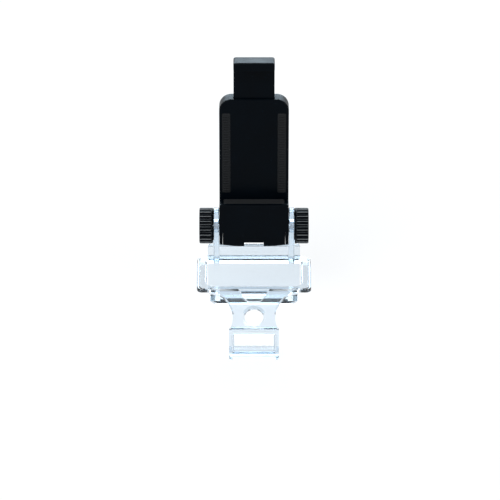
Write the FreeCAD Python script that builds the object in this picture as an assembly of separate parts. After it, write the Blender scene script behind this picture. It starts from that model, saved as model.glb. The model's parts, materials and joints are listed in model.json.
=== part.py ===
import FreeCAD, Part
import math
import os
from FreeCAD import Placement, Rotation, Vector

# A clear bracket with two hooks and two ears, and a black spring clamp that tilts between
# the ears under two thumb knobs. Millimetres, +Z up, -Y towards the user, X across.
# The origin is the middle of the window, on the underside of the bracket's top plate.

# Bracket: sheet, window and top plate
sheet_t = 2.2
window_w = 46.6
window_d = 21.0
window_near_r = 2.8
window_far_r = 1.0
window_flare = 0.9
band_w = 4.85
far_strip = 4.3
near_strip = 3.24
corner_cut_x = 4.7
corner_cut_y = 2.2
plate_near_r = 2.5
corner_r = 0.8
rim_w = 1.0
rim_drop = 0.45
edge_r = 0.4
small_r = 0.3

# Bracket: step, slope and waist
step_run = 1.41
step_drop = 2.3
step_half_w = 18.7
slope_deg = 26.3
slope_len = 18.9
fold_r = 0.9
waist_r = 15.2
waist_x = 25.6
waist_s = 12.4

# Bracket: speaker opening under its hood, and the round hole
speaker_top_w = 12.4
speaker_low_w = 6.2
speaker_s = 3.6
hood_root_w = 15.4
hood_tip_w = 12.4
hood_reach = 2.4
hood_t = 1.25
home_r = 4.65
home_flare = 1.05
home_flare_depth = 0.9
home_s = 11.9

# Bracket: front wall with its port window and hook
wall_w = 24.4
wall_h = 19.1
wall_bend_r = 3.3
rib_w = 1.4
rib_extra_t = 1.0
panel_depth = 0.4
panel_top = 1.5
panel_foot = 2.0
port_w = 19.6
port_h = 10.25
port_drop = 4.7
port_flare = 1.1
front_hook = 8.0
bead_r = 0.8

# Bracket: rear wall with its hook
rear_w = 46.0
rear_t = 2.5
rear_rise = 5.2
rear_drop = 25.4
rear_top_r = 1.5
rear_foot_r = 6.0
rear_bend_r = 3.0
rear_hook = 7.5

# Ears and the hinge axis
ear_play = 0.14
ear_t = 2.96
ear_head_r = 9.0
axis_y = 16.5
axis_z = 18.87
ear_foot = 0.6
ear_root = 0.5
gusset = 3.6
gusset_top = 3.0
gusset_drop = 9.0
ear_hole_r = 2.25

# Clamp: hinge block and lower jaw, measured from the hinge axis
lean_deg = 12.0
clamp_margin = 7.05
block_front = 8.0
block_below = 8.0
block_arch = 1.05
swing_r = 11.0
lip_t = 2.5
lip_h = 0.6
jaw_floor = 12.7
notch_w = 9.65
notch_h = 2.3
slit_w = 0.15
slit_inset = 1.6
block_edge_r = 0.6

# Clamp: housing behind the jaws
face_y = 2.6
housing_top = 66.0
housing_corner_r = 6.0
housing_back = 11.0
cover_t = 1.5
front_wall_t = 1.2
side_wall_t = 1.7
floor_t = 2.0
boss_len = 7.6
cavity_front_wall = 2.2
cavity_below = 3.2

# Sliding arm and upper jaw
arm_w = 20.1
arm_t = 2.2
arm_bottom = 34.0
slide_gap = 0.2
tongue_reach = 1.9
tongue_h = 16.0
hook_lip_t = 1.7
hook_top_t = 2.2
hook_slope_deg = 3.7
hook_overlap = 1.0
hook_rear_r = 3.8
hook_edge_r = 0.8
lug_h = 5.0
lug_half_w = 9.0
lug_slot_w = 4.2
lug_back_gap = 0.3
guide_t = 1.2

# Jaw opening and rubber pads
pad_t = 1.0
pad_seat = 0.6
opening = 71.7
lower_pad_w = 30.0
upper_pad_w = 17.0
back_pad_w = 4.2
back_pad_h = 42.0
pad_inset = 0.3
pad_corner_r = 0.8

# Springs and their pins
pin_r = 0.75
pin_grip = 1.4
pin_gap = 0.03
lower_pin_z = -0.6
pin_back = 6.6
spring_x = 5.6
spring_mean_r = 1.3
wire_r = 0.3
spring_turns = 8
coil_steps = 8
loop_r = 1.2
loop_steps = 10
loop_deg = 300
wire_sides = 6

# Hinge screws, nuts, washers, knobs and caps
screw_r = 2.0
screw_gap = 0.06
screw_stand = 0.5
hex_flats = 7.0
nut_t = 3.2
hex_gap = 0.05
head_t = 2.8
washer_r = 5.0
washer_seat = 0.85
boss_hole_r = 2.2
knob_r = 8.85
knob_w = 6.8
knob_gap = 0.05
knob_edge = 0.7
knob_hub_t = 2.1
rib_count = 20
groove_depth = 0.7
groove_share = 0.5
groove_end = 0.9
cap_r = 6.0
cap_t = 1.2
cap_sink = 0.4
cap_dome = 0.3

# Cover screws
cover_screw_r = 1.0
cover_head_r = 1.9
cover_head_t = 1.1
cover_screw_len = 5.5
cover_screw_inset = 3.1
cover_screw_low = 5.0
cover_screw_high = 62.0
post_r = 1.8
drive_w = 0.6
drive_len = 2.2
drive_depth = 0.5

# Shared places, worked out from the sizes above
plate_half = window_w / 2 + band_w
plate_near = -window_d / 2 - near_strip
plate_far = window_d / 2 + far_strip
slope = math.radians(slope_deg)
along = (-math.cos(slope), -math.sin(slope))
step_foot = (plate_near - step_run, sheet_t - step_drop)
fold = (step_foot[0] + slope_len * along[0], step_foot[1] + slope_len * along[1])
wall_foot = fold[1] - wall_h
rear_back = plate_far + rear_t
block_w = arm_w + 2 * clamp_margin
half_w = block_w / 2
ear_gap = block_w + 2 * ear_play
ear_out = ear_gap / 2 + ear_t
slit_x = half_w - slit_inset
cavity_half = half_w - boss_len
cover_screw_x = half_w - cover_screw_inset
washer_t = ear_gap / 2 - half_w + washer_seat
jaw_top = jaw_floor + pad_t
upper_pad_face = jaw_top + opening
hook_under = upper_pad_face + pad_t
hook_top = hook_under + hook_top_t
lip_top = jaw_top + lip_h
lip_back = -block_front + lip_t
wall_back = face_y + front_wall_t
arm_front = wall_back + slide_gap
arm_back = arm_front + arm_t
cover_front = housing_back - cover_t
channel_half = arm_w / 2 + slide_gap
notch_roof = -block_below + notch_h
upper_pin_z = arm_bottom + lug_h / 2
pin_reach = cavity_half + pin_grip
room_low = jaw_floor + floor_t
room_high = housing_top - side_wall_t
back_pad_x = (channel_half + half_w) / 2
knob_in = ear_out + knob_gap
knob_out = knob_in + knob_w
head_in = knob_in + knob_hub_t
head_out = head_in + head_t + hex_gap


def rounded_wire(corners, place):
    """Closed wire through corners (a, b, radius), with an arc wherever a radius is over 0."""
    ends = []
    for i, (a, b, radius) in enumerate(corners):
        here = Vector(a, b, 0)
        if radius <= 0:
            ends.append((here, None, here))
            continue
        back = Vector(*corners[i - 1][:2], 0).sub(here).normalize()
        ahead = Vector(*corners[(i + 1) % len(corners)][:2], 0).sub(here).normalize()
        half = back.getAngle(ahead) / 2
        inward = back.add(ahead).normalize()
        middle = here + inward * (radius / math.sin(half) - radius)
        run = radius / math.tan(half)
        ends.append((here + back * run, middle, here + ahead * run))
    edges = []
    for i, (start, middle, end) in enumerate(ends):
        last = ends[i - 1][2]
        if last.distanceToPoint(start) > 1e-6:
            edges.append(Part.LineSegment(place(last), place(start)).toShape())
        if middle:
            edges.append(Part.Arc(place(start), place(middle), place(end)).toShape())
    return Part.Wire(edges)


def prism_x(corners, x0, x1):
    """Outline in Y and Z, carried along X."""
    wire = rounded_wire(corners, lambda p: Vector(x0, p.x, p.y))
    return Part.Face(wire).extrude(Vector(x1 - x0, 0, 0))


def prism_y(corners, y0, y1):
    """Outline in X and Z, carried along Y."""
    wire = rounded_wire(corners, lambda p: Vector(p.x, y0, p.y))
    return Part.Face(wire).extrude(Vector(0, y1 - y0, 0))


def prism_z(corners, z0, z1):
    """Outline in X and Y, carried along Z."""
    wire = rounded_wire(corners, lambda p: Vector(p.x, p.y, z0))
    return Part.Face(wire).extrude(Vector(0, 0, z1 - z0))


def block(x0, x1, y0, y1, z0, z1):
    return Part.makeBox(x1 - x0, y1 - y0, z1 - z0, Vector(x0, y0, z0))


def rod_x(radius, x0, x1, y=0.0, z=0.0):
    return Part.makeCylinder(radius, x1 - x0, Vector(x0, y, z), Vector(1, 0, 0))


def hex_x(flats, x0, x1):
    """Hexagonal prism on the X axis, with two flats level."""
    corner = flats / math.sqrt(3)
    turns = [math.radians(60 * i) for i in range(6)]
    return prism_x([(corner * math.cos(t), corner * math.sin(t), 0) for t in turns], x0, x1)


def mirrored(shape):
    return shape.mirror(Vector(0, 0, 0), Vector(1, 0, 0))


def fused(shapes):
    return shapes[0].fuse(shapes[1:]).removeSplitter()


def four_corners(half, low, high, low_r=0.0, high_r=0.0):
    return [(-half, low, low_r), (half, low, low_r), (half, high, high_r), (-half, high, high_r)]


def offset_path(path, distance):
    """The path's points moved sideways by one distance, to the left of its run."""
    moved = []
    for i, point in enumerate(path):
        normals = []
        for a, b in ((i - 1, i), (i, i + 1)):
            if a >= 0 and b < len(path):
                run = Vector(path[b][0] - path[a][0], path[b][1] - path[a][1], 0).normalize()
                normals.append(Vector(-run.y, run.x, 0))
        push = normals[0] + normals[-1]
        push = push * (2 * distance / push.dot(push))
        moved.append((point[0] + push.x, point[1] + push.y))
    return moved


def on_slope(shape):
    """Carries a shape from flat, foot of the step at the origin and -Y down the slope, on to it."""
    turned = shape.copy()
    turn = Rotation(Vector(1, 0, 0), slope_deg)
    turned.Placement = Placement(Vector(0, step_foot[0], step_foot[1]), turn)
    return turned


def flared(make_wire, near, far):
    """Solid between two sizes of one outline: make_wire(place, growth) at near and at far."""
    return Part.makeLoft([make_wire(*near), make_wire(*far)], True, True)


# Bracket


def plate_slab(half, thickness):
    """The plate's outline to one half width, with its upper edges chamfered."""
    ring = [
        (-half, plate_near, plate_near_r),
        (half, plate_near, plate_near_r),
        (half, plate_far - corner_cut_y, corner_r),
        (half - corner_cut_x, plate_far, corner_r),
        (-half + corner_cut_x, plate_far, corner_r),
        (-half, plate_far - corner_cut_y, corner_r),
    ]
    slab = prism_z(ring, 0, thickness)
    upper = [e for e in slab.Edges if e.BoundBox.ZMin > thickness - 0.01]
    return slab.makeChamfer(edge_r, upper)


def top_plate():
    """Flat plate with cut far corners, lowered side rims and a flared window."""
    low = plate_slab(plate_half, sheet_t - rim_drop)
    plate = low.fuse(plate_slab(plate_half - rim_w, sheet_t))

    def window(z, growth):
        near_r = window_near_r + growth
        far_r = window_far_r + growth
        low = -window_d / 2 - growth
        high = window_d / 2 + growth
        ring = four_corners(window_w / 2 + growth, low, high, near_r, far_r)
        return rounded_wire(ring, lambda p: Vector(p.x, p.y, z))

    through = Part.Face(window(-1, 0)).extrude(Vector(0, 0, sheet_t + 2))
    flare = flared(window, (sheet_t - window_flare, 0), (sheet_t + 0.1, window_flare + 0.1))
    return plate.cut([through, flare])


def slope_web():
    """Step and slope below the plate, waisted by two round cut-outs, with their rims eased."""
    path = [(plate_near + sheet_t, sheet_t), (plate_near, sheet_t), step_foot, fold, (fold[0], wall_foot)]
    under = offset_path(path, sheet_t)
    ring = [(y, z, 0) for y, z in path[:4]] + [(y, z, 0) for y, z in reversed(under[:4])]
    ring[3] = (*fold, fold_r)
    web = prism_x(ring, -step_half_w, step_half_w)
    bite = Part.makeCylinder(waist_r, 4 * sheet_t, Vector(waist_x, -waist_s, -2 * sheet_t))
    bite = on_slope(bite)
    web = web.cut([bite, mirrored(bite)])
    rims = [e for e in web.Edges if is_waist_rim(e)]
    return web.makeChamfer(edge_r, rims)


def is_waist_rim(edge):
    """True for the long curved edges of the waist on the slope's upper face."""
    up = Vector(0, -math.sin(slope), math.cos(slope))
    foot = Vector(0, *step_foot)
    level = [abs((v.Point - foot).dot(up)) < 0.05 for v in edge.Vertexes]
    return all(level) and edge.Length > waist_r / 2 and edge.Curve.TypeId != "Part::GeomLine"


def speaker_cut():
    """Trapezoid opening that starts under the hood."""
    ring = [
        (-speaker_top_w / 2, 0, small_r),
        (speaker_top_w / 2, 0, small_r),
        (speaker_low_w / 2, -speaker_s, edge_r),
        (-speaker_low_w / 2, -speaker_s, edge_r),
    ]
    return on_slope(prism_z(ring, -2 * sheet_t, sheet_t))


def hood():
    """Tongue that carries the plate's top on over the speaker opening."""
    ring = [
        (-hood_root_w / 2, plate_near + sheet_t / 2, 0),
        (hood_root_w / 2, plate_near + sheet_t / 2, 0),
        (hood_root_w / 2, plate_near, 0),
        (hood_tip_w / 2, plate_near - hood_reach, edge_r),
        (-hood_tip_w / 2, plate_near - hood_reach, edge_r),
        (-hood_root_w / 2, plate_near, 0),
    ]
    return prism_z(ring, sheet_t - hood_t, sheet_t)


def home_cut():
    """Round hole through the slope with a broad flare round its mouth."""
    hole = Part.makeCylinder(home_r, 4 * sheet_t, Vector(0, -home_s, -2 * sheet_t))
    slant = home_flare / home_flare_depth
    top = 0.1
    mouth = Part.makeCone(
        home_r,
        home_r + home_flare + slant * top,
        home_flare_depth + top,
        Vector(0, -home_s, -home_flare_depth),
    )
    return on_slope(hole.fuse(mouth))


def front_wall():
    """Wall below the fold with a bent hook, square side ribs, a sunk panel and the port window."""
    path = [step_foot, fold, (fold[0], wall_foot), (fold[0] + front_hook, wall_foot)]
    half = wall_w / 2

    def strip(thickness, bend_r, x0, x1):
        under = offset_path(path, thickness)
        ring = [
            (*path[1], 0),
            (*path[2], bend_r),
            (*path[3], 0),
            (*under[3], 0),
            (*under[2], max(bend_r - thickness, 0)),
            (*under[1], 0),
        ]
        return prism_x(ring, x0, x1)

    wall = strip(sheet_t, wall_bend_r, -half, half)
    panel = block(
        -half + rib_w,
        half - rib_w,
        fold[0] - 1,
        fold[0] + panel_depth,
        wall_foot + panel_foot,
        fold[1] - panel_top,
    )
    wall = wall.cut(panel)
    rib = strip(sheet_t + rib_extra_t, 0, half - rib_w, half)
    rib = rib.makeChamfer(edge_r, [e for e in rib.Edges if is_front_rim(e, half)])
    hook_end = fold[0] + front_hook
    bead = rod_x(bead_r, -half, half, hook_end - bead_r, wall_foot + sheet_t)
    wall = fused([wall, rib, mirrored(rib), bead])
    port_top = fold[1] - port_drop
    face = fold[0] + panel_depth

    def port(y, growth):
        low = port_top - port_h - growth / 2
        ring = four_corners(port_w / 2 + growth, low, port_top + growth, edge_r, edge_r)
        return rounded_wire(ring, lambda p: Vector(p.x, y, p.y))

    through = Part.Face(port(fold[0] - 1, 0)).extrude(Vector(0, sheet_t + rib_extra_t + 2, 0))
    flare = flared(port, (face + port_flare, 0), (face - 0.1, port_flare + 0.1))
    return wall.cut([through, flare])


def is_front_rim(edge, half):
    """True for the upright outer edge of the front wall's rib."""
    box = edge.BoundBox
    return box.XMin > half - 0.01 and box.YMax < fold[0] + 0.01 and box.ZLength > wall_h / 2


def rear_wall():
    """Upright wall across the plate's far edge, bent into a hook at its foot."""
    path = [(rear_back, -rear_drop), (rear_back - rear_hook, -rear_drop)]
    top = sheet_t + rear_rise
    inner = rear_back - rear_t
    ring = [
        (rear_back, top, 2 * small_r),
        (inner, top, small_r),
        (inner, -rear_drop + rear_t, max(rear_bend_r - rear_t, 0)),
        (path[1][0], -rear_drop + rear_t, 0),
        (*path[1], 0),
        (*path[0], rear_bend_r),
    ]
    wall = prism_x(ring, -rear_w / 2, rear_w / 2)
    front = four_corners(rear_w / 2, -rear_drop, top, rear_foot_r, rear_top_r)
    wall = wall.common(prism_y(front, path[1][0] - 1, rear_back + 1))
    reach = rear_w / 2 - rear_foot_r
    bead = rod_x(bead_r, -reach, reach, path[1][0] + bead_r, -rear_drop + rear_t)
    return fused([wall, bead])


def tangent(from_y, from_z, side):
    """Where a line from a point touches the ear's round head, on its front (-1) or rear (1) side."""
    dy = from_y - axis_y
    dz = from_z - axis_z
    reach = math.hypot(dy, dz)
    angle = math.atan2(dz, dy) + side * math.acos(ear_head_r / reach)
    return axis_y + ear_head_r * math.cos(angle), axis_z + ear_head_r * math.sin(angle)


def ear():
    """Upright ear on the +X side: round head on two tangent flanks, gusseted behind the wall."""
    front_foot = (plate_far - ear_foot, sheet_t / 2)
    rear_foot = (rear_back + gusset, -gusset_top)
    root = rear_back - ear_root
    front = tangent(*front_foot, -1)
    rear = tangent(*rear_foot, 1)
    x0 = ear_gap / 2

    def at(y, z):
        return Vector(x0, y, z)

    outline = [
        Part.Arc(at(*rear), at(axis_y, axis_z + ear_head_r), at(*front)).toShape(),
        Part.LineSegment(at(*front), at(*front_foot)).toShape(),
        Part.LineSegment(at(*front_foot), at(root, sheet_t / 2)).toShape(),
        Part.LineSegment(at(root, sheet_t / 2), at(root, -gusset_drop)).toShape(),
        Part.LineSegment(at(root, -gusset_drop), at(rear_back, -gusset_drop)).toShape(),
        Part.LineSegment(at(rear_back, -gusset_drop), at(*rear_foot)).toShape(),
        Part.LineSegment(at(*rear_foot), at(*rear)).toShape(),
    ]
    plate = Part.Face(Part.Wire(outline)).extrude(Vector(ear_t, 0, 0))
    rims = [e for e in plate.Edges if e.Length > 2 * ear_head_r and e.Curve.TypeId != "Part::GeomLine"]
    plate = plate.makeChamfer(edge_r, rims)
    return plate.cut(rod_x(ear_hole_r, x0 - 1, x0 + ear_t + 1, axis_y, axis_z))


def clear_bracket():
    web = slope_web().cut([speaker_cut(), home_cut()])
    side = ear()
    return fused([top_plate(), web, hood(), front_wall(), rear_wall(), side, mirrored(side)])


# Clamp, in its own frame: hinge axis along X through the origin, Z up the jaws, -Y to the front


def clamp_outline(depth_front, depth_back):
    """Front view of the clamp: straight sides, round top corners and a gently arched foot."""
    foot = -block_below
    corner = foot + block_arch
    shoulder = housing_top - housing_corner_r
    inset = half_w - housing_corner_r
    curve = housing_corner_r * (1 - math.sqrt(0.5))

    def at(x, z):
        return Vector(x, -depth_front, z)

    right = at(half_w - curve, housing_top - curve)
    left = at(-half_w + curve, housing_top - curve)
    edges = [
        Part.Arc(at(-half_w, corner), at(0, foot), at(half_w, corner)).toShape(),
        Part.LineSegment(at(half_w, corner), at(half_w, shoulder)).toShape(),
        Part.Arc(at(half_w, shoulder), right, at(inset, housing_top)).toShape(),
        Part.LineSegment(at(inset, housing_top), at(-inset, housing_top)).toShape(),
        Part.Arc(at(-inset, housing_top), left, at(-half_w, shoulder)).toShape(),
        Part.LineSegment(at(-half_w, shoulder), at(-half_w, corner)).toShape(),
    ]
    return Part.Face(Part.Wire(edges)).extrude(Vector(0, depth_front + depth_back, 0))


def clamp_side():
    """Side view of the clamp: lower jaw and lip in front, and a foot that clears the swing circle."""
    rear_foot = math.sqrt(swing_r**2 - block_below**2)
    rear_rise = math.sqrt(swing_r**2 - housing_back**2) if swing_r > housing_back else 0
    bend = (math.atan2(rear_rise, housing_back) + math.atan2(-block_below, rear_foot)) / 2
    x0 = -half_w

    def at(y, z):
        return Vector(x0, y, z)

    points = [
        at(rear_foot, -block_below),
        at(-block_front, -block_below),
        at(-block_front, lip_top),
        at(lip_back, lip_top),
        at(lip_back, jaw_floor),
        at(face_y, jaw_floor),
        at(face_y, housing_top),
        at(housing_back, housing_top),
        at(housing_back, rear_rise),
    ]
    edges = [Part.LineSegment(a, b).toShape() for a, b in zip(points, points[1:])]
    middle = at(swing_r * math.cos(bend), swing_r * math.sin(bend))
    edges.append(Part.Arc(points[-1], middle, points[0]).toShape())
    return Part.Face(Part.Wire(edges)).extrude(Vector(block_w, 0, 0))


def nut_pocket():
    """Hexagonal pocket open to the middle, then the screw's hole and the washer's seat."""
    pocket = hex_x(hex_flats + 2 * hex_gap, cavity_half - 0.1, cavity_half + nut_t)
    hole = rod_x(boss_hole_r, cavity_half, half_w + 1)
    seat = rod_x(washer_r + hex_gap, half_w - washer_seat, half_w + 1)
    return pocket.fuse([hole, seat])


def screw_places():
    return [(side * cover_screw_x, z) for z in (cover_screw_low, cover_screw_high) for side in (-1, 1)]


def rod_y(radius, x, y0, y1, z):
    return Part.makeCylinder(radius, y1 - y0, Vector(x, y0, z), Vector(0, 1, 0))


def hollows():
    """Rooms inside the housing: behind the front wall, in the hinge block, and the arm's slot."""
    behind = cover_front + 1
    corner_r = housing_corner_r - side_wall_t
    inner = four_corners(half_w - side_wall_t, room_low, room_high, 0, corner_r)
    room = prism_y(inner, wall_back, behind)
    well_front = cavity_front_wall - block_front
    well = block(-cavity_half, cavity_half, well_front, behind, -cavity_below, jaw_floor - floor_t)
    throat = block(-cavity_half, cavity_half, wall_back, behind, -cavity_below, room_low + floor_t)
    slot_back = arm_back + slide_gap
    slot = block(-channel_half, channel_half, wall_back, slot_back, room_high - 1, housing_top + 1)
    return [room, well, throat, slot]


def clamp_housing():
    """Front shell: lower jaw, hinge block, and the room that the arm slides in."""
    shell = clamp_outline(block_front, cover_front).common(clamp_side())
    shell = shell.makeFillet(block_edge_r, [e for e in shell.Edges if is_block_rim(e)])
    shell = shell.makeChamfer(edge_r, [e for e in shell.Edges if is_face_rim(e)])
    shell = shell.cut(hollows())
    added = [rod_y(post_r, x, face_y, cover_front, z) for x, z in screw_places() if z > jaw_floor]
    rail_x = arm_w / 2 + tongue_reach + slide_gap
    rail = block(rail_x, rail_x + guide_t, face_y, arm_back, room_low - 1, room_high + 1)
    shell = fused([shell, rail, mirrored(rail)] + added)
    foot = -block_below - 1
    front = -block_front - 1
    cuts = [block(-notch_w / 2, notch_w / 2, front, swing_r, foot, notch_roof)]
    slit = block(slit_x - slit_w / 2, slit_x + slit_w / 2, front, cover_front + 1, foot, 0)
    depth = cover_screw_len - cover_t + drive_depth
    for x, z in screw_places():
        cuts.append(rod_y(cover_screw_r + screw_gap, x, cover_front - depth, cover_front, z))
    cuts.append(rod_x(pin_r + pin_gap, -pin_reach, pin_reach, pin_back, lower_pin_z))
    for half in (slit, nut_pocket(), pad_recess()):
        cuts += [half, mirrored(half)]
    return shell.cut(cuts)


def is_block_rim(edge):
    """True for the edges round the block's front and round the lip's top."""
    box = edge.BoundBox
    front = box.YMax < -block_front + 0.01
    return front or (box.ZMin > lip_top - 0.01 and box.ZMax < lip_top + 0.01)


def is_face_rim(edge):
    """True for the edges beside and above the upright face."""
    box = edge.BoundBox
    level = box.YMin > face_y - 0.01 and box.YMax < face_y + 0.01
    return level and box.ZMax > jaw_floor + 0.01


def back_pad_box(gap, front, back):
    """Upright strip on the +X side of the housing's front, with a gap all round it."""
    low = jaw_floor + 2 * floor_t
    reach = back_pad_w / 2 + gap
    outline = [
        (back_pad_x - reach, low - gap, pad_corner_r),
        (back_pad_x + reach, low - gap, pad_corner_r),
        (back_pad_x + reach, low + back_pad_h + gap, pad_corner_r),
        (back_pad_x - reach, low + back_pad_h + gap, pad_corner_r),
    ]
    return prism_y(outline, front, back)


def pad_recess():
    return back_pad_box(hex_gap, face_y - 1, face_y + pad_seat)


def back_pad():
    return back_pad_box(0, face_y + pad_seat - pad_t, face_y + pad_seat)


def rear_cover():
    """Back plate of the housing, with guide ribs behind the arm and sunk screw holes."""
    plate = clamp_outline(-cover_front, housing_back).common(clamp_side())
    rims = [e for e in plate.Edges if e.BoundBox.YMin > housing_back - 0.01]
    plate = plate.makeChamfer(edge_r, rims)
    rib_x = channel_half - guide_t / 2 + tongue_reach / 2
    low = room_low + slide_gap
    high = room_high - slide_gap
    rib = block(rib_x, rib_x + guide_t, arm_back + slide_gap, cover_front + cover_t / 2, low, high)
    plate = fused([plate, rib, mirrored(rib)])
    cuts = [block(-notch_w / 2, notch_w / 2, 0, swing_r, -block_below - 1, notch_roof)]
    for x, z in screw_places():
        cuts.append(rod_y(cover_screw_r + screw_gap, x, cover_front - 1, housing_back + 1, z))
        cuts.append(rod_y(cover_head_r + hex_gap, x, housing_back - cover_head_t, housing_back + 1, z))
    return plate.cut(cuts)


def cover_screws():
    """Four pan screws from behind, each with a cross recess."""
    found = []
    seat = housing_back - cover_head_t
    tip = cover_front - cover_screw_len + cover_t
    back = housing_back - hex_gap
    deep = back - drive_depth
    for x, z in screw_places():
        shank = rod_y(cover_screw_r, x, tip, seat + drive_depth / 2, z)
        screw = rod_y(cover_head_r, x, seat, back, z).fuse(shank)
        for w, h in ((drive_w, drive_len), (drive_len, drive_w)):
            screw = screw.cut(block(x - w / 2, x + w / 2, deep, back + 1, z - h / 2, z + h / 2))
        found.append(screw.removeSplitter())
    return Part.makeCompound(found)


def sliding_arm():
    """Flat arm bent forward into the upper jaw, with guide tongues and a spring lug at its foot."""
    fall = (arm_back + block_front) * math.tan(math.radians(hook_slope_deg))
    ring = [
        (arm_front, arm_bottom, 0),
        (arm_back, arm_bottom, 0),
        (arm_back, hook_top - fall, hook_rear_r),
        (-block_front + hook_edge_r, hook_top, hook_edge_r),
        (-block_front + hook_edge_r, hook_under - hook_overlap - pad_t, small_r),
        (-block_front + hook_edge_r + hook_lip_t, hook_under - hook_overlap - pad_t, small_r),
        (-block_front + hook_edge_r + hook_lip_t, hook_under, 0),
        (arm_front, hook_under, 0),
    ]
    arm = prism_x(ring, -arm_w / 2, arm_w / 2)
    front = four_corners(arm_w / 2, arm_bottom, hook_top, small_r, hook_edge_r * 2)
    arm = arm.common(prism_y(front, -block_front - 1, arm_back + 1))
    reach = arm_w / 2 + tongue_reach
    tongue = block(-reach, reach, arm_front, arm_back, arm_bottom, arm_bottom + tongue_h)
    lug_back = cover_front - lug_back_gap
    lug = block(-lug_half_w, lug_half_w, arm_front, lug_back, arm_bottom, arm_bottom + lug_h)
    arm = fused([arm, tongue, lug])
    cuts = [rod_x(pin_r + pin_gap, -lug_half_w - 1, lug_half_w + 1, pin_back, upper_pin_z)]
    slot_top = upper_pin_z + loop_r + 2 * wire_r
    for x in (-spring_x, spring_x):
        left = x - lug_slot_w / 2
        cuts.append(block(left, left + lug_slot_w, arm_front - 1, lug_back + 1, arm_bottom - 1, slot_top))
    return arm.cut(cuts)


def jaw_pad(half, front, low, high):
    """Rubber sheet on a jaw, from its front edge back to the upright face."""
    back = face_y - pad_inset
    near = front + pad_inset
    ring = [(-half, near), (half, near), (half, back), (-half, back)]
    return prism_z([(x, y, pad_corner_r) for x, y in ring], low, high)


def lower_jaw_pad():
    return jaw_pad(lower_pad_w / 2, lip_back, jaw_floor, jaw_top)


def upper_jaw_pad():
    return jaw_pad(upper_pad_w / 2, -block_front + hook_edge_r + hook_lip_t, upper_pad_face, hook_under)


def spring_path():
    """Points along the wire: an eye round the lower pin, the coil, and an eye round the upper pin."""
    slack = loop_r * math.cos(math.radians(loop_deg / loop_steps / 2)) - wire_r - pin_r
    low_eye = lower_pin_z + slack
    high_eye = upper_pin_z - slack
    low = low_eye + loop_r
    rise = high_eye - loop_r - low
    bends = [math.radians(loop_deg * i / loop_steps) for i in range(loop_steps + 1)]
    points = [Vector(0, -loop_r * math.sin(t), low_eye + loop_r * math.cos(t)) for t in reversed(bends)]
    count = spring_turns * coil_steps
    for i in range(1, count):
        turn = i / coil_steps
        reach = spring_mean_r * min(1, 2 * turn, 2 * (spring_turns - turn))
        angle = math.radians(90 + 360 * turn)
        points.append(Vector(reach * math.cos(angle), reach * math.sin(angle), low + rise * i / count))
    points += [Vector(0, -loop_r * math.sin(t), high_eye - loop_r * math.cos(t)) for t in bends]
    return points


def spring(x):
    """Tension spring between the two pins, lofted through sections set square to its wire."""
    path = spring_path()
    side = Vector(1, 0, 0)
    sections = []
    for i, point in enumerate(path):
        run = (path[min(i + 1, len(path) - 1)] - path[max(i - 1, 0)]).normalize()
        side = (side - run * side.dot(run)).normalize()
        across = run.cross(side)
        ring = []
        for k in range(wire_sides + 1):
            t = 2 * math.pi * (k % wire_sides) / wire_sides
            ring.append(point + side * (wire_r * math.cos(t)) + across * (wire_r * math.sin(t)))
        sections.append(Part.makePolygon(ring))
    wire = Part.makeLoft(sections, True, True)
    wire.translate(Vector(x, pin_back, 0))
    return wire


def spring_pin(z, half):
    return rod_x(pin_r, -half, half, pin_back, z)


# Hinge hardware on the +X side, about the hinge axis


def hinge_nut():
    x0 = cavity_half
    return hex_x(hex_flats, x0, x0 + nut_t).cut(rod_x(screw_r + screw_gap, x0 - 1, x0 + nut_t + 1))


def friction_washer():
    x0 = half_w - washer_seat
    ring = rod_x(washer_r, x0, x0 + washer_t)
    return ring.cut(rod_x(boss_hole_r, x0 - 1, x0 + washer_t + 1))


def hinge_screw():
    shank = rod_x(screw_r, cavity_half - screw_stand, head_in)
    head = hex_x(hex_flats, head_in, head_in + head_t)
    return fused([shank, head])


def knob():
    """Thumb knob: grooved rim, hub for the screw's head and a seat for the cap."""
    profile = [
        (knob_in, 0, 0),
        (knob_out, 0, 0),
        (knob_out, knob_r - knob_edge, 0),
        (knob_out - knob_edge, knob_r, 0),
        (knob_in + knob_edge / 2, knob_r, 0),
        (knob_in, knob_r - knob_edge / 2, 0),
    ]
    wire = rounded_wire(profile, lambda p: Vector(p.x, p.y, 0))
    body = Part.Face(wire).revolve(Vector(0, 0, 0), Vector(1, 0, 0), 360)
    pitch = 2 * math.pi / rib_count
    width = knob_r * pitch * groove_share
    deep = knob_r - groove_depth
    ring = [
        (knob_in + groove_end, deep, 0),
        (knob_out + 1, deep, 0),
        (knob_out + 1, knob_r + 1, 0),
        (knob_in + groove_end, knob_r + 1, 0),
    ]
    wire = rounded_wire(ring, lambda p: Vector(p.x, -width / 2, p.y))
    groove = Part.Face(wire).extrude(Vector(0, width, 0))
    cuts = []
    for i in range(rib_count):
        cut = groove.copy()
        cut.rotate(Vector(0, 0, 0), Vector(1, 0, 0), math.degrees(pitch * (i + 0.5)))
        cuts.append(cut)
    cuts.append(rod_x(screw_r + screw_gap, knob_in - 1, knob_out))
    cuts.append(hex_x(hex_flats + 2 * hex_gap, head_in, head_out))
    cuts.append(rod_x(cap_r + hex_gap, head_out, knob_out + 1))
    return body.cut(cuts)


def knob_cap():
    """Slightly domed disc over the screw's head, a little below the knob's end face."""
    out = knob_out - cap_sink
    ring = [(head_out, 0, 0), (out, 0, 0), (out - cap_dome, cap_r, 0), (head_out, cap_r, 0)]
    wire = rounded_wire(ring, lambda p: Vector(p.x, p.y, 0))
    return Part.Face(wire).revolve(Vector(0, 0, 0), Vector(1, 0, 0), 360)


def in_place(shape):
    """Leans a clamp part back by the clamp's angle and carries it to the hinge axis."""
    moved = shape.copy()
    lean = Placement(Vector(0, axis_y, axis_z), Rotation(Vector(1, 0, 0), -lean_deg))
    moved.Placement = lean.multiply(moved.Placement)
    return moved


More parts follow.
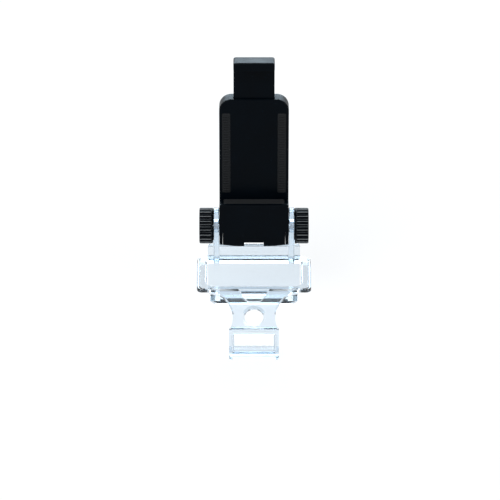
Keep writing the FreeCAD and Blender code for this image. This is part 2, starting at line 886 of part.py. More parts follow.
pieces = {
    "clear_bracket": clear_bracket(),
    "clamp_housing": in_place(clamp_housing()),
    "rear_cover": in_place(rear_cover()),
    "cover_screws": in_place(cover_screws()),
    "sliding_arm": in_place(sliding_arm()),
    "lower_jaw_pad": in_place(lower_jaw_pad()),
    "upper_jaw_pad": in_place(upper_jaw_pad()),
    "lower_spring_pin": in_place(spring_pin(lower_pin_z, pin_reach)),
    "upper_spring_pin": in_place(spring_pin(upper_pin_z, lug_half_w)),
}
for side, sign in (("left", -1), ("right", 1)):
    pieces[side + "_spring"] = in_place(spring(sign * spring_x))
    hardware = {
        "back_pad": back_pad(),
        "hinge_nut": hinge_nut(),
        "friction_washer": friction_washer(),
        "hinge_screw": hinge_screw(),
        "knob": knob(),
        "knob_cap": knob_cap(),
    }
    for name, shape in hardware.items():
        pieces[side + "_" + name] = in_place(shape if sign > 0 else mirrored(shape))

os.makedirs("parts", exist_ok=True)
for name, shape in pieces.items():
    shape.exportStep("parts/" + name + ".step")
    print(name, shape.isValid(), len(shape.Solids), round(shape.Volume, 1))
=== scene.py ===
import json
import math

import bmesh
import bpy
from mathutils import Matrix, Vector


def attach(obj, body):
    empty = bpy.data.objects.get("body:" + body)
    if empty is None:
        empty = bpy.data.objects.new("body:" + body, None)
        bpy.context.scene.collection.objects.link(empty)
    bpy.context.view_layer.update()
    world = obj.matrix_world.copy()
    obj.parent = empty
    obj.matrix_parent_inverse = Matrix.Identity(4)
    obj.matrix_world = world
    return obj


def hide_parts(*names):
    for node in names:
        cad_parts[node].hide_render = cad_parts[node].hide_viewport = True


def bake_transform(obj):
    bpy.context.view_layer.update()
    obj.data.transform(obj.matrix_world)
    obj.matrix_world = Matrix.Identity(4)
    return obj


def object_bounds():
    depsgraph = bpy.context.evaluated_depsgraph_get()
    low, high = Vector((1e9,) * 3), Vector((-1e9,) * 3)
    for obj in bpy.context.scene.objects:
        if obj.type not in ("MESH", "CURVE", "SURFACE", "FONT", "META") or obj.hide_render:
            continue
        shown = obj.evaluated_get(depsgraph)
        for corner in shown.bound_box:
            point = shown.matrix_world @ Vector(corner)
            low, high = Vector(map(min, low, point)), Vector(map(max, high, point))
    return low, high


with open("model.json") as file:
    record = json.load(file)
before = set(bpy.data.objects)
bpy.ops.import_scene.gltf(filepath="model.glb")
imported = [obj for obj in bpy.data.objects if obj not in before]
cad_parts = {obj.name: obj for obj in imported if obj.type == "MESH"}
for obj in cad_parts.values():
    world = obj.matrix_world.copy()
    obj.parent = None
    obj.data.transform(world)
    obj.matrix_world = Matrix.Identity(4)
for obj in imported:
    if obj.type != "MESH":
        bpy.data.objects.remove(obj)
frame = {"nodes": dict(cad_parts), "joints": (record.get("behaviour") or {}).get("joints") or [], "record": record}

# %% [markdown]
# # A clear bracket with a black spring clamp
#
# This lesson dresses a small plastic holder. A bracket of clear polycarbonate hooks over the thing
# that carries it, and a black clamp tilts between the bracket's two ears. The shapes are ready:
# the frame brings every part at its true size. What is left is how the surfaces look, what light
# falls on them, and the small rubber and metal details that are easier to model here.
#
# The first value to keep is the box of the bare frame. The dressed model has to stay inside it.

# %% Measure the frame
mm = 0.001
frame_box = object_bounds()
nodes = frame["nodes"]
low, high = frame_box
print("pieces in the frame:", len(nodes))
print("size in mm:", [round((h - l) / mm, 1) for l, h in zip(low, high)])

# %% [markdown]
# ## The camera
#
# The photograph was taken from well back with a long lens, so lines that run away from the camera
# hardly converge. A 225 mm lens at about one and a half metres gives the same picture. It looks
# down at 36 degrees, which makes the tilted clamp face it almost squarely. I place the camera
# first, because every later choice of light and finish is judged through it.

# %% Set up the camera
camera_place = (-1.97 * mm, -1246.25 * mm, 921.34 * mm)
camera_down_deg = 36
camera_lens = 225.09
camera_data = bpy.data.cameras.new("camera")
camera_data.lens = camera_lens
camera_data.sensor_width = 36
camera = bpy.data.objects.new("camera", camera_data)
camera.location = camera_place
camera.rotation_euler = (math.radians(90 - camera_down_deg), 0, 0)
bpy.context.scene.collection.objects.link(camera)
bpy.context.scene.camera = camera
print("camera distance in m:", round(camera.location.length, 3))

# %% [markdown]
# ## Small helpers for shader nodes
#
# A material is a chain of nodes. Most finishes here want the same few: a noise in the object's own
# millimetres, a map that turns it into a narrow range of values, a mix of two colours, and a bump.
# Short helpers keep each recipe readable. Object coordinates are used for all of them, so the
# grain stays on the part when it moves and doesn't need unwrapped surfaces.

# %% Node helpers
mix_first, mix_second, mix_result = 6, 7, 2  # the colour sockets of a Mix node


def new_material(name):
    """A material with only a Principled shader and an output, its tree and that shader."""
    material = bpy.data.materials.new(name)
    material.use_nodes = True
    tree = material.node_tree
    return material, tree, tree.nodes["Principled BSDF"]


def add(tree, kind, **values):
    """A node of one kind, with input sockets or properties set by name."""
    node = tree.nodes.new(kind)
    for name, value in values.items():
        label = name.replace("_", " ")
        if label in node.inputs:
            node.inputs[label].default_value = value
        else:
            setattr(node, name, value)
    return node


def object_mm(tree, stretch=(1, 1, 1)):
    """Object coordinates in millimetres, stretched along any axis."""
    coordinates = add(tree, "ShaderNodeTexCoord")
    scaled = add(tree, "ShaderNodeVectorMath", operation="MULTIPLY")
    scaled.inputs[1].default_value = [s / mm for s in stretch]
    tree.links.new(coordinates.outputs["Object"], scaled.inputs[0])
    return scaled.outputs[0]


def noise(tree, where, per_mm, detail, rough=0.5):
    """Noise with about per_mm grains in a millimetre."""
    node = add(tree, "ShaderNodeTexNoise", Scale=per_mm, Detail=detail, Roughness=rough)
    tree.links.new(where, node.inputs["Vector"])
    return node.outputs["Fac"]


def spread(tree, value, to_low, to_high, from_low=0.3, from_high=0.7):
    """Maps a noise, which mostly stays between 0.3 and 0.7, onto a range of values."""
    node = add(tree, "ShaderNodeMapRange", From_Min=from_low, From_Max=from_high,
               To_Min=to_low, To_Max=to_high)
    tree.links.new(value, node.inputs["Value"])
    return node.outputs["Result"]


def mix_colours(tree, share, first, second):
    """A colour between two, by a share from 0 to 1. The first may come from another node."""
    node = add(tree, "ShaderNodeMix", data_type="RGBA")
    tree.links.new(share, node.inputs[0])
    if isinstance(first, bpy.types.NodeSocket):
        tree.links.new(first, node.inputs[mix_first])
    else:
        node.inputs[mix_first].default_value = (*first, 1)
    node.inputs[mix_second].default_value = (*second, 1)
    return node.outputs[mix_result]


def mix_surfaces(tree, share, first, second):
    """Shows one shader, or by a share from 0 to 1 a second one."""
    mix = add(tree, "ShaderNodeMixShader")
    tree.links.new(share, mix.inputs[0])
    tree.links.new(first.outputs[0], mix.inputs[1])
    tree.links.new(second.outputs[0], mix.inputs[2])
    tree.links.new(mix.outputs[0], tree.nodes["Material Output"].inputs["Surface"])


def bump(tree, shader, height, depth_mm, strength):
    """Raises the surface by height, from 0 to 1, times a depth in millimetres."""
    node = add(tree, "ShaderNodeBump", Strength=strength, Distance=depth_mm * mm)
    tree.links.new(height, node.inputs["Height"])
    tree.links.new(node.outputs["Normal"], shader.inputs["Normal"])


print("helpers ready")

# %% [markdown]
# ## Clear polycarbonate
#
# The bracket is one clear moulding, about two millimetres thick. Real polycarbonate bends light
# strongly, has a faint cool tint and isn't perfectly flat: the mould leaves long, soft waves, and
# handling leaves fine hazy patches. A glass-like Principled shader gives the bending. The waves go
# into a very shallow bump and the haze into the roughness. The edges of a clear sheet look deeper
# than its faces, because light runs a long way inside them. Absorption in the volume does that by
# itself: the longer the way, the stronger the tint. A clear part would throw a black shadow,
# because lamps are small and bent light rarely finds them, so rays from lamps pass straight
# through, with the tint that the sheet gives them.

# %% Make the clear plastic
sheet_tint = (0.79, 0.85, 0.90, 1)
depth_tint = (0.81, 0.875, 0.925, 1)
depth_density = 90.0
lamp_tint = (0.80, 0.86, 0.91, 1)


def clear_plastic():
    """Glass-like plastic that is tinted by depth and lets the lamps' light straight through."""
    material, tree, shader = new_material("clear_polycarbonate")
    shader.inputs["Base Color"].default_value = sheet_tint
    shader.inputs["IOR"].default_value = 1.54
    shader.inputs["Transmission Weight"].default_value = 1.0
    where = object_mm(tree)
    haze = noise(tree, where, per_mm=0.35, detail=5, rough=0.6)
    roughness = spread(tree, haze, 0.03, 0.09, from_low=0.35)
    tree.links.new(roughness, shader.inputs["Roughness"])
    waves = noise(tree, where, per_mm=0.12, detail=1)
    bump(tree, shader, waves, depth_mm=0.05, strength=0.5)
    through = add(tree, "ShaderNodeBsdfTransparent", Color=lamp_tint)
    rays = add(tree, "ShaderNodeLightPath")
    mix_surfaces(tree, rays.outputs["Is Shadow Ray"], shader, through)
    depth = add(tree, "ShaderNodeVolumeAbsorption", Color=depth_tint, Density=depth_density)
    tree.links.new(depth.outputs[0], tree.nodes["Material Output"].inputs["Volume"])
    return material


clear = clear_plastic()
print("made", clear.name)

# %% [markdown]
# ## Black moulded plastic
#
# The clamp is moulded in black. Its tool was spark-eroded, which leaves a very fine, even grain, so
# the surface is satin rather than glossy. Two noises do this: a fine one for the grain, in a bump
# of a few hundredths of a millimetre, and a broad one that moves the roughness a little, as
# fingers do on the real part. The colour is never pure black, because then no light could show
# the form. On the knobs, a pale line is painted along the edges of the ribs: a painted highlight,
# where light would catch the edges. The knob model marks those edges with a number on each point,
# and the material reads that number by its name.

# %% Make the black plastics
touched_gain = 2.4


def black_plastic(name, colour, shine, rough, grain_mm, grain_per_mm, painted_highlight_colour=None):
    """Satin black with a fine grain, and paler where the mesh marks a painted highlight on an edge."""
    material, tree, shader = new_material(name)
    shader.inputs["Specular IOR Level"].default_value = shine
    where = object_mm(tree)
    grain = noise(tree, where, grain_per_mm, detail=4)
    broad = noise(tree, where, per_mm=0.08, detail=3)
    touched = [c * touched_gain for c in colour]
    base = mix_colours(tree, broad, colour, touched)
    # painted highlight: a pale colour on the knobs' rib edges, where light would catch them
    if painted_highlight_colour:
        painted_highlight = add(tree, "ShaderNodeAttribute", attribute_name="painted_highlight")
        base = mix_colours(tree, painted_highlight.outputs["Fac"], base, painted_highlight_colour)
    tree.links.new(base, shader.inputs["Base Color"])
    tree.links.new(spread(tree, broad, *rough), shader.inputs["Roughness"])
    bump(tree, shader, grain, grain_mm, strength=0.6)
    return material


satin_black = black_plastic(
    "satin_black_plastic", colour=(0.0002, 0.0009, 0.0018), shine=0.045, rough=(0.28, 0.42),
    grain_mm=0.03, grain_per_mm=2.5)
# the knob's pale edge colour is a painted highlight along the rib edges
knob_black = black_plastic(
    "knob_plastic", colour=(0.0003, 0.0009, 0.0018), shine=0.04, rough=(0.20, 0.30),
    grain_mm=0.012, grain_per_mm=3.5, painted_highlight_colour=(0.31, 0.335, 0.35))
print("made", satin_black.name, "and", knob_black.name)

# %% [markdown]
# ## Rubber, steel and fibre
#
# The pads are soft black rubber: dull, a little dusty, and slightly pebbled. The springs and pins
# are drawn steel, whose fine scratches run along the wire. The screws in the rear cover are
# blackened, and the friction washers are dark fibre. These parts are small, but the clamp can be
# opened and tilted, and then they show.

# %% Make the small finishes
scratch_gain = 1.25


def rubber():
    """Dull black rubber with a pebbled face and dust in patches."""
    material, tree, shader = new_material("soft_rubber")
    shader.inputs["Specular IOR Level"].default_value = 0.2
    where = object_mm(tree)
    pebble = noise(tree, where, per_mm=3.0, detail=2)
    dust = noise(tree, where, per_mm=0.25, detail=6, rough=0.7)
    base = mix_colours(tree, dust, (0.003, 0.004, 0.005), (0.009, 0.0105, 0.012))
    tree.links.new(base, shader.inputs["Base Color"])
    tree.links.new(spread(tree, dust, 0.68, 0.85), shader.inputs["Roughness"])
    bump(tree, shader, pebble, depth_mm=0.03, strength=0.7)
    return material


def steel(name, colour, rough, along=(1, 1, 1)):
    """Metal with fine scratches, drawn out where the noise is stretched along one way."""
    material, tree, shader = new_material(name)
    shader.inputs["Metallic"].default_value = 1.0
    where = object_mm(tree, along)
    scratches = noise(tree, where, per_mm=4.0, detail=4, rough=0.65)
    base = mix_colours(tree, scratches, colour, [c * scratch_gain for c in colour])
    tree.links.new(base, shader.inputs["Base Color"])
    tree.links.new(spread(tree, scratches, *rough), shader.inputs["Roughness"])
    bump(tree, shader, scratches, depth_mm=0.004, strength=0.5)
    return material


def fibre():
    """Pressed dark fibre with fine flecks."""
    material, tree, shader = new_material("washer_fibre")
    fleck = noise(tree, object_mm(tree), per_mm=5.0, detail=6, rough=0.7)
    base = mix_colours(tree, fleck, (0.012, 0.011, 0.010), (0.035, 0.033, 0.030))
    tree.links.new(base, shader.inputs["Base Color"])
    tree.links.new(spread(tree, fleck, 0.55, 0.75), shader.inputs["Roughness"])
    bump(tree, shader, fleck, depth_mm=0.01, strength=0.5)
    return material


finishes = {
    "clear_plastic": clear,
    "black_plastic": satin_black,
    "knob_plastic": knob_black,
    "soft_rubber": rubber(),
    "bright_steel": steel("bright_steel", (0.58, 0.58, 0.6), (0.18, 0.34), (1, 1, 0.15)),
    "screw_steel": steel("blackened_steel", (0.035, 0.035, 0.04), (0.3, 0.46)),
    "washer_fibre": fibre(),
}
print("finishes:", sorted(finishes))

# %% [markdown]
# ## Dressing the frame
#
# The record says which finish each part has, so a loop can hand them out. The parts come in with
# one plain material slot each, and the new material takes its place.

# %% Give every part its finish
slot_of = {part["node"]: part["material_slot"] for part in frame["record"]["subparts"]}
for name, node in nodes.items():
    for slot in node.material_slots:
        slot.material = finishes[slot_of[name]]
print("dressed", len(nodes), "parts")

# %% [markdown]
# ## Working in the clamp's own directions
#
# The clamp leans back, so its parts aren't in line with the world. Rather than turn every number,
# I read the clamp's directions from the joints: the jaws slide along the clamp's own upward line,
# and the hinge gives a fixed point. With these, a part of the clamp can be measured and modelled
# as if it stood upright.

# %% Find the clamp's directions
joints = {joint["name"]: joint for joint in frame["joints"]}
hinge = Vector(joints["clamp_tilt"]["pos_m"])
right = Vector((1, 0, 0))
up = Vector(joints["jaw_slide"]["axis"]).normalized()
back = up.cross(right)


def in_clamp(x, y, z):
    """A point of the frame, from millimetres right, back and up from the hinge's middle."""
    return hinge + (right * x + back * y + up * z) * mm


def clamp_box(name):
    """Lowest and highest corner of a part in the clamp's own directions, in millimetres."""
    offsets = [(v.co - hinge) / mm for v in nodes[name].data.vertices]
    spans = [[o.dot(way) for o in offsets] for way in (right, back, up)]
    return Vector([min(span) for span in spans]), Vector([max(span) for span in spans])


lean = math.degrees(math.atan2(up.y, up.z))
print("the clamp leans back by degrees:", round(lean, 2))

# %% [markdown]
# ## From points to pieces
#
# Every new piece starts as rings of points with a skin between them. One helper makes the skin and
# closes both ends. A second one marks only sharp folds as hard edges, so that round forms shade
# smoothly, gives the piece its body and its finish, and hides the frame's part that it stands for.

# %% Mesh helpers
tiny = 0.02  # a radius in millimetres that is too small to see


def clip(value):
    """Keeps a number between 0 and 1."""
    return min(max(value, 0), 1)


def smooth(value):
    """Keeps a number between 0 and 1, and eases it at both ends."""
    value = clip(value)
    return value * value * (3 - 2 * value)


def skin(mesh, rings):
    """Adds faces between rings of equally many points, and closes both ends."""
    rows = [[mesh.verts.new(point) for point in ring] for ring in rings]
    count = len(rows[0])
    for low_row, high_row in zip(rows, rows[1:]):
        for i in range(count):
            j = (i + 1) % count
            mesh.faces.new((low_row[i], low_row[j], high_row[j], high_row[i]))
    mesh.faces.new(list(reversed(rows[0])))
    mesh.faces.new(rows[-1])


def piece(name, mesh, body, slot, node, sharp_deg=38):
    """Turns a bmesh into an object that hides the node it stands for, rides its body and takes a finish."""
    bmesh.ops.recalc_face_normals(mesh, faces=mesh.faces)
    for face in mesh.faces:
        face.smooth = True
    for edge in mesh.edges:
        joins_two = len(edge.link_faces) == 2
        edge.smooth = joins_two and edge.calc_face_angle() < math.radians(sharp_deg)
    data = bpy.data.meshes.new(name)
    mesh.to_mesh(data)
    mesh.free()
    made = bpy.data.objects.new(name, data)
    bpy.context.scene.collection.objects.link(made)
    data.materials.append(finishes[slot])
    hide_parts(node)
    if body:
        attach(made, body)
    return made


print("mesh helpers ready")

# %% [markdown]
# ## The bent arm with soft edges
#
# The top of the arm is the upper jaw, and it is the first thing one sees of it. A moulded arm has
# well rounded side edges, which catch a fine line of light and round off its corners against the
# background. The frame's arm has sharp ones. So the part above the housing is modelled again from
# its side outline: each corner of the outline has a radius, and each edge has its own inset. From
# both sides the outline grows to full size along a quarter circle, which is what rounds the
# edges. The hidden foot, with its guide tongues, is taken over from the frame: its loose triangles
# are welded, it is cut off just above the new part's lower end, and the cut is closed.

# %% Model the arm
arm_half = 10.05
arm_front, arm_back, arm_cut = 4.0, 6.2, 50.5
hook_front, hook_top, hook_top_at_rear, hook_under = -7.2, 88.6, 87.68, 86.4
lip_back, lip_end = -5.5, 84.4
foot_overlap = 0.4
weld_mm = 0.001
edge_round = 1.3
edge_steps = 6
corner_steps = 6
# one row for each corner: back, up, inset of the edge that follows, radius inside and at the side
arm_outline = [
    (arm_front, arm_cut, 0.0, tiny, tiny),
    (arm_back, arm_cut, 1.2, tiny, tiny),
    (arm_back, hook_top_at_rear, 0.85, 3.8, 2.8),
    (hook_front, hook_top, 0.9, 0.8, 0.2),
    (hook_front, lip_end, 0.5, 0.3, 0.1),
    (lip_back, lip_end, 0.4, 0.3, 0.1),
    (lip_back, hook_under, 0.3, 0.3, 0.5),
    (arm_front, hook_under, 0.4, 2.0, 2.35),
]


def inset_corners(outline, share):
    """The outline's corners, after each edge has moved inward by a share of its inset."""
    points = [Vector(corner[:2]) for corner in outline]
    moved = []
    for i, point in enumerate(points):
        before = (point - points[i - 1]).normalized()
        after = (points[(i + 1) % len(points)] - point).normalized()
        shift_before = outline[i - 1][2] * share
        shift_after = outline[i][2] * share
        turn = before.cross(after)
        along = (shift_after - shift_before * before.dot(after)) / turn
        inward = Vector((-before.y, before.x))
        moved.append(point + inward * shift_before - before * along)
    return moved


def round_corner(previous, corner, following, radius, steps):
    """Points on the arc that rounds a corner."""
    to_previous = (previous - corner).normalized()
    to_following = (following - corner).normalized()
    half = math.acos(to_previous.dot(to_following)) / 2
    centre = corner + (to_previous + to_following).normalized() * radius / math.sin(half)
    start = corner + to_previous * radius / math.tan(half) - centre
    end = corner + to_following * radius / math.tan(half) - centre
    sweep = start.angle(end)
    arc = []
    for i in range(steps + 1):
        part = sweep * i / steps
        spoke = start * math.sin(sweep - part) + end * math.sin(part)
        arc.append(centre + spoke / math.sin(sweep))
    return arc


def arm_ring(x, share):
    """The side outline at one place across the arm."""
    corners = inset_corners(arm_outline, share)
    ring = []
    for i, corner in enumerate(corners):
        inside, at_side = arm_outline[i][3:]
        radius = inside + (at_side - inside) * share
        steps = 1 if inside == tiny else corner_steps  # the corners at the cut stay sharp
        following = corners[(i + 1) % len(corners)]
        around = round_corner(corners[i - 1], corner, following, radius, steps)
        ring += [in_clamp(x, point.x, point.y) for point in around]
    return ring


mesh = bmesh.new()
mesh.from_mesh(nodes["sliding_arm"].data)
bmesh.ops.remove_doubles(mesh, verts=mesh.verts, dist=weld_mm * mm)
parts = mesh.verts[:] + mesh.edges[:] + mesh.faces[:]
foot_top = in_clamp(0, 0, arm_cut + foot_overlap)
cut = bmesh.ops.bisect_plane(mesh, geom=parts, plane_co=foot_top, plane_no=up, clear_outer=True)
rim = [item for item in cut["geom_cut"] if isinstance(item, bmesh.types.BMEdge)]
bmesh.ops.holes_fill(mesh, edges=rim)
stations = []
for i in range(edge_steps + 1):
    turn = math.radians(90 * i / edge_steps)
    stations.append((edge_round * (1 - math.cos(turn)) - arm_half, 1 - math.sin(turn)))
stations += [(-x, share) for x, share in reversed(stations)]
skin(mesh, [arm_ring(x, share) for x, share in stations])
made = piece("sliding_arm_rounded", mesh, "jaw", "black_plastic", "sliding_arm")
print(made.name, "faces:", len(made.data.polygons))

# %% [markdown]
# ## Ribbed rubber pads
#
# A smooth rubber sheet would let glass slip, so such pads have rows of round-topped ribs. They
# could be cut from a bump, but from the side a bump stays flat. Here each pad is a thin sheet with
# rounded corners, and each rib is the same rounded block, long and narrow, standing on it. Both
# come from one function that stacks outlines of shrinking size, which rounds the upper edge.

# %% Model the pads
pad_corner_r = 0.8
sheet_share = 0.55
rib_pitch = 1.3
rib_half_w = 0.35
rib_margin = 0.45
first_rib_from_end = 0.5


def rounded_outline(middle, half_u, half_v, radius, quarter_steps=5):
    """Points round a rectangle with round corners."""
    points = []
    for quarter, (su, sv) in enumerate(((1, 1), (-1, 1), (-1, -1), (1, -1))):
        for step in range(quarter_steps + 1):
            turn = math.radians(90 * (quarter + step / quarter_steps))
            u = middle[0] + su * (half_u - radius) + radius * math.cos(turn)
            v = middle[1] + sv * (half_v - radius) + radius * math.sin(turn)
            points.append((u, v))
    return points


def pillow(mesh, place, middle, half_u, half_v, radius, levels):
    """A rounded block: one outline at each (height, inset) level, placed by a function."""
    rings = []
    for height, inset in levels:
        corner = max(radius - inset, tiny)
        outline = rounded_outline(middle, half_u - inset, half_v - inset, corner)
        rings.append([place(u, v, height) for u, v in outline])
    skin(mesh, rings)


def ribbed_pad(name, node, body, place, size):
    """A rubber sheet of one size (across, along, thick) with ribs that run across it."""
    wide, long, thick = size
    sheet = thick * sheet_share
    flat = [(0, 0), (sheet - 0.1, 0), (sheet - 0.03, 0.04), (sheet, 0.12)]
    crown = [(sheet - 0.08, 0), (thick - 0.22, 0.02), (thick - 0.08, 0.08), (thick, 0.22)]
    mesh = bmesh.new()
    pillow(mesh, place, (wide / 2, long / 2), wide / 2, long / 2, pad_corner_r, flat)
    count = int((long - 2 * first_rib_from_end) // rib_pitch)
    first = (long - (count - 1) * rib_pitch) / 2
    for i in range(count):
        centre = (wide / 2, first + i * rib_pitch)
        pillow(mesh, place, centre, wide / 2 - rib_margin, rib_half_w, rib_half_w, crown)
    return piece(name, mesh, body, "soft_rubber", node)


def pad_on(node, facing):
    """The place function and size of a pad whose ribs face up, down or to the front."""
    near, far = clamp_box(node)
    wide, deep, tall = far - near

    def place(u, v, height):
        if facing == "front":
            return in_clamp(near.x + u, far.y - height, near.z + v)
        z = near.z + height if facing == "up" else far.z - height
        return in_clamp(near.x + u, near.y + v, z)

    return place, (wide, tall, deep) if facing == "front" else (wide, deep, tall)


pads = {
    "lower_jaw_pad": ("clamp", "up"),
    "upper_jaw_pad": ("jaw", "down"),
    "left_back_pad": ("clamp", "front"),
    "right_back_pad": ("clamp", "front"),
}
for node, (body, facing) in pads.items():
    place, size = pad_on(node, facing)
    made = ribbed_pad(node + "_ribbed", node, body, place, size)
    print(made.name, "faces:", len(made.data.polygons))

# %% [markdown]
# ## Tension springs
#
# Two springs pull the jaws together. A spring is one wire: an eye round the lower pin, a rise into
# the coil, the coil, and an eye round the upper pin. Sweeping a small circle along that path with
# a frame that doesn't spin gives an even wire. The coil has twenty turns, because a real tension
# spring of this wire would close up when the jaws are shut.

# %% Model the springs
wire_r = 0.29
wire_sides = 8
eye_r = 1.2
eye_deg = 300
eye_steps = 30
coil_r = 1.25
coil_turns = 20
coil_ease = 1.6
turn_steps = 20
pin_slack = 0.1


def spring_path(low_eye, high_eye):
    """Points along the wire, in the clamp's directions, round the line x = 0, y = 0."""
    arc = [math.radians(eye_deg * i / eye_steps) for i in range(eye_steps + 1)]
    path = [(0, -eye_r * math.sin(t), low_eye + eye_r * math.cos(t)) for t in reversed(arc)]
    low_end = low_eye + eye_r
    rise = high_eye - eye_r - low_end
    steps = coil_turns * turn_steps
    for i in range(1, steps):
        turn = i / turn_steps
        reach = coil_r * smooth(coil_ease * min(turn, coil_turns - turn))
        angle = math.radians(90 + 360 * turn)
        path.append((reach * math.cos(angle), reach * math.sin(angle), low_end + rise * i / steps))
    path += [(0, -eye_r * math.sin(t), high_eye - eye_r * math.cos(t)) for t in arc]
    return path


def tube(mesh, path, radius):
    """A round wire along a path, with a frame carried along so that it doesn't twist."""
    side = Vector((1, 0, 0))
    turns = [2 * math.pi * k / wire_sides for k in range(wire_sides)]
    rings = []
    for i, point in enumerate(path):
        run = (path[min(i + 1, len(path) - 1)] - path[max(i - 1, 0)]).normalized()
        side = (side - run * side.dot(run)).normalized()
        across = run.cross(side)
        spokes = [side * (radius * math.cos(t)) + across * (radius * math.sin(t)) for t in turns]
        rings.append([point + spoke for spoke in spokes])
    skin(mesh, rings)


lower_pin = sum(clamp_box("lower_spring_pin"), Vector()) / 2
upper_pin = sum(clamp_box("upper_spring_pin"), Vector()) / 2
for side in ("left", "right"):
    node = side + "_spring"
    near, far = clamp_box(node)
    middle_x = (near.x + far.x) / 2
    wire = spring_path(lower_pin.z + pin_slack, upper_pin.z - pin_slack)
    mesh = bmesh.new()
    tube(mesh, [in_clamp(middle_x + x, lower_pin.y + y, z) for x, y, z in wire], wire_r * mm)
    made = piece(node + "_coil", mesh, None, "bright_steel", node)
    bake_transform(made)
    print(made.name, "faces:", len(made.data.polygons))

# %% [markdown]
# ## Thumb knobs
#
# The knobs show mostly through their ribs: black crests with a thin pale line along each edge.
# A sharp edge has no room for such a line. So the rim is modelled again as rings of points, one
# ring for each station along the axis. Round the ring the radius dips into twenty grooves with
# rounded shoulders, and along the axis it is rounded at both ends. The same rings carry on over
# the end face and down into the seat of the cap. The pale line is partly real light on the
# rounded shoulders and partly a painted highlight: the start of a groove's dip gets a pale colour,
# so each point gets its share of the painted highlight from how far the radius has dipped there.

# %% Model the knobs
rib_count = 20
rib_pitch_deg = 360 / rib_count
rib_turn = math.radians(-5)
groove_depth = 0.7
crest_half_deg = 3.0
shoulder_deg = 3.2
bore_r = 2.3
cap_slack = 0.05
knob_sharp_deg = 50
# shares of a groove's depth: the painted highlight is full at the first, gone at the second, fading over the third
highlight_full, highlight_gone, highlight_fade = 0.1, 0.42, 0.3


def rim_angles():
    """Angles round the rim, closer together where a crest turns into a groove."""
    half = (0, 2.0, 2.9, 3.1, 3.4, 3.8, 4.2, 4.7, 5.2, 5.7, 6.2, rib_pitch_deg / 2)
    one = [-a for a in reversed(half[1:-1])] + list(half)
    return [math.radians(i * rib_pitch_deg + a) for i in range(rib_count) for a in one]


def rim_dip(angle):
    """Share of the groove's depth at one angle: 0 on a crest and 1 in a groove."""
    off = abs((math.degrees(angle) + rib_pitch_deg / 2) % rib_pitch_deg - rib_pitch_deg / 2)
    return smooth((off - crest_half_deg) / shoulder_deg)


def knob_stations(width, full, seat, seat_r):
    """Rows of distance from the inner face, radius, and share of the groove's depth."""
    inner = [(0, bore_r, 0), (0, full - 0.6, 0), (0.02, full - 0.35, 0)]
    inner += [(0.1, full - 0.17, 0), (0.2, full - 0.06, 0), (0.35, full, 0)]
    groove = [(0.7, full, 0), (0.85, full, 0.15), (0.95, full, 0.45)]
    groove += [(1.05, full, 0.75), (1.15, full, 0.93), (1.3, full, 1)]
    outer = [(width - 0.75, full, 1), (width - 0.45, full - 0.06, 1)]
    outer += [(width - 0.22, full - 0.18, 1), (width - 0.07, full - 0.38, 1)]
    outer += [(width, full - 0.7, 1), (width, full - 1.2, 0)]
    into_seat = [(width, seat_r + 0.18, 0), (width - 0.05, seat_r + 0.05, 0)]
    into_seat += [(width - 0.2, seat_r, 0), (seat, seat_r, 0)]
    return inner + groove + outer + into_seat


def knob(side, sign):
    """One ribbed knob. The sign says which way it faces."""
    near, far = clamp_box(side + "_knob")
    cap_near, cap_far = clamp_box(side + "_knob_cap")
    width = far.x - near.x
    full = (far.y - near.y) / 2
    inner = near.x if sign > 0 else far.x
    seat = abs((cap_near.x if sign > 0 else cap_far.x) - inner)
    seat_r = (cap_far.y - cap_near.y) / 2 + cap_slack
    angles = rim_angles()
    rings = []
    highlight_shares = []
    for along, radius, share in knob_stations(width, full, seat, seat_r):
        ring = []
        for angle in angles:
            dip = share * rim_dip(angle)
            reach = min(radius, full - groove_depth * dip)
            y = reach * math.cos(angle + rib_turn)
            z = reach * math.sin(angle + rib_turn)
            ring.append(in_clamp(inner + sign * along, y, z))
            # painted highlight: this point's share of the pale edge colour
            highlight_shares.append(share * clip(min(dip / highlight_full, (highlight_gone - dip) / highlight_fade)))
        rings.append(ring)
    mesh = bmesh.new()
    skin(mesh, rings)
    made = piece(side + "_knob_ribbed", mesh, side + "_thumb", "knob_plastic", side + "_knob",
                 knob_sharp_deg)
    # the painted highlight's shares go onto the mesh, where the knob material reads them
    made.data.attributes.new("painted_highlight", "FLOAT", "POINT").data.foreach_set("value", highlight_shares)
    return made


for side, sign in (("left", -1), ("right", 1)):
    made = knob(side, sign)
    print(made.name, "faces:", len(made.data.polygons))

# %% [markdown]
# ## Floor and light
#
# The photograph's ground is white with no horizon. A large floor does that if the camera, and what
# shines or is clear, sees it mostly as its own white, while lamps still draw a soft shadow on it.
# The light is a broad soft box from the upper left, a weaker one from the right and two long ones
# from behind, cool as a window, whose glancing light draws the top edges. The world adds an even,
# weak fill, and shows its own full white in the same three cases as the floor.

# %% Build the floor
own_white = 0.8
floor_half = 4.0
floor_gap = 0.05


def background_rays(tree):
    """1 for what the camera sees straight, in a gloss or through the clear plastic, else 0."""
    rays = add(tree, "ShaderNodeLightPath")
    shiny = add(tree, "ShaderNodeMath", operation="MAXIMUM")
    tree.links.new(rays.outputs["Is Camera Ray"], shiny.inputs[0])
    tree.links.new(rays.outputs["Is Glossy Ray"], shiny.inputs[1])
    clear_too = add(tree, "ShaderNodeMath", operation="MAXIMUM")
    tree.links.new(shiny.outputs[0], clear_too.inputs[0])
    tree.links.new(rays.outputs["Is Transmission Ray"], clear_too.inputs[1])
    return clear_too.outputs[0]


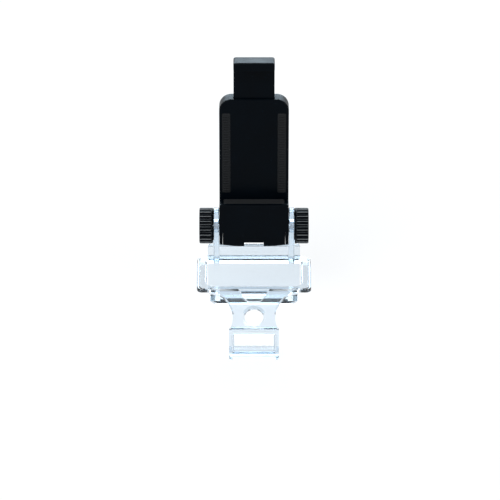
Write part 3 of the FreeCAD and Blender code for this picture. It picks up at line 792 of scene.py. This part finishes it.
def backdrop_white():
    """White that is mostly its own light, and keeps a fifth of the shadow that falls on it."""
    material, tree, shader = new_material("backdrop_white")
    shader.inputs["Base Color"].default_value = (0.9, 0.9, 0.9, 1)
    shader.inputs["Roughness"].default_value = 0.9
    shader.inputs["Specular IOR Level"].default_value = 0.1
    white = add(tree, "ShaderNodeEmission", Color=(1, 1, 1, 1), Strength=1.0)
    share = add(tree, "ShaderNodeMath", operation="MULTIPLY")
    share.inputs[1].default_value = own_white
    tree.links.new(background_rays(tree), share.inputs[0])
    mix_surfaces(tree, share.outputs[0], shader, white)
    return material


floor_z = low[2] - floor_gap * mm
corners = [(-1, -1), (1, -1), (1, 1), (-1, 1)]
points = [(x * floor_half, y * floor_half, floor_z) for x, y in corners]
floor_mesh = bpy.data.meshes.new("floor")
floor_mesh.from_pydata(points, [], [(0, 1, 2, 3)])
floor = bpy.data.objects.new("floor", floor_mesh)
bpy.context.scene.collection.objects.link(floor)
floor.data.materials.append(backdrop_white())
print("floor at mm:", round(floor_z / mm, 2))

# %% Set the world and the lamps
world_fill = 0.35
white_light = (1.0, 1.0, 1.0)
cool_light = (0.66, 0.85, 1.0)
aim = Vector((0, 0, 0.04))  # the middle of the object
scene = bpy.context.scene
scene.view_settings.view_transform = "Standard"
world = bpy.data.worlds.new("studio")
scene.world = world
world.use_nodes = True
sky = world.node_tree.nodes["Background"]
sky.inputs["Color"].default_value = (1, 1, 1, 1)
level = add(world.node_tree, "ShaderNodeMapRange", To_Min=world_fill, To_Max=1.0)
world.node_tree.links.new(background_rays(world.node_tree), level.inputs["Value"])
world.node_tree.links.new(level.outputs[0], sky.inputs["Strength"])


def soft_box(name, place, size, watts, colour):
    """A rectangular lamp that faces the object."""
    data = bpy.data.lights.new(name, "AREA")
    data.shape = "RECTANGLE"
    data.size, data.size_y = size
    data.energy = watts
    data.color = colour
    lamp = bpy.data.objects.new(name, data)
    lamp.location = place
    lamp.rotation_euler = (aim - Vector(place)).to_track_quat("-Z", "Y").to_euler()
    scene.collection.objects.link(lamp)


soft_box("key", (-0.7, -0.7, 1.2), (0.8, 0.8), 14, white_light)
soft_box("fill", (0.9, -0.5, 0.7), (0.7, 0.7), 5, white_light)
soft_box("back", (0.0, 1.1, 0.9), (1.2, 0.4), 10, cool_light)
soft_box("horizon", (0.0, 1.4, 0.3), (1.6, 0.4), 16, cool_light)
